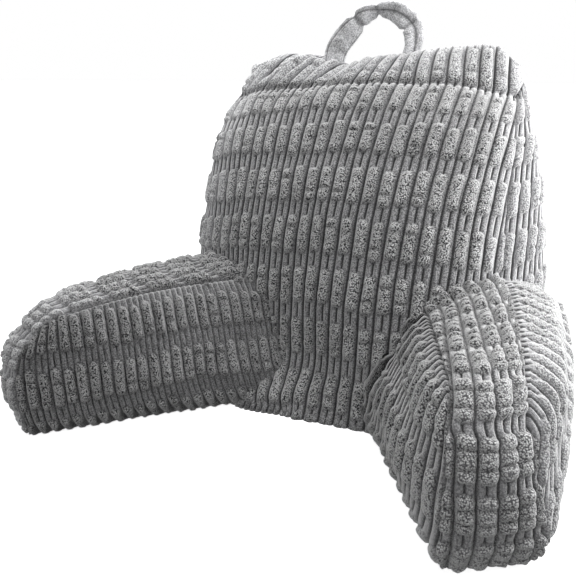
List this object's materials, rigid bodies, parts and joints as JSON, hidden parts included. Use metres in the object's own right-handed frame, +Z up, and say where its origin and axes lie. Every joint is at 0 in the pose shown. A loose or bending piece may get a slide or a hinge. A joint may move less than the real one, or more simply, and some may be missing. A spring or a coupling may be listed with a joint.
{
  "type": "reading pillow with arms",
  "caption": "Grey plush reading pillow: a filled back that leans, two filled arms splayed forward on the floor and a loop handle on top.",
  "frame": {"origin": "on the floor, under the back cushion, midway between the arms' creases and a little behind them", "axes": "+X to the right of someone who faces the pillow, -Y the way the arms reach, +Z up"},
  "size_m": [0.6849, 0.5367, 0.5172],
  "materials": {
    "plush": "matte pill corduroy pile"
  },
  "bodies": {
    "root": {"back_cushion": "plush", "arm_left": "plush", "arm_right": "plush", "handle": "plush"}
  },
  "joints": []
}
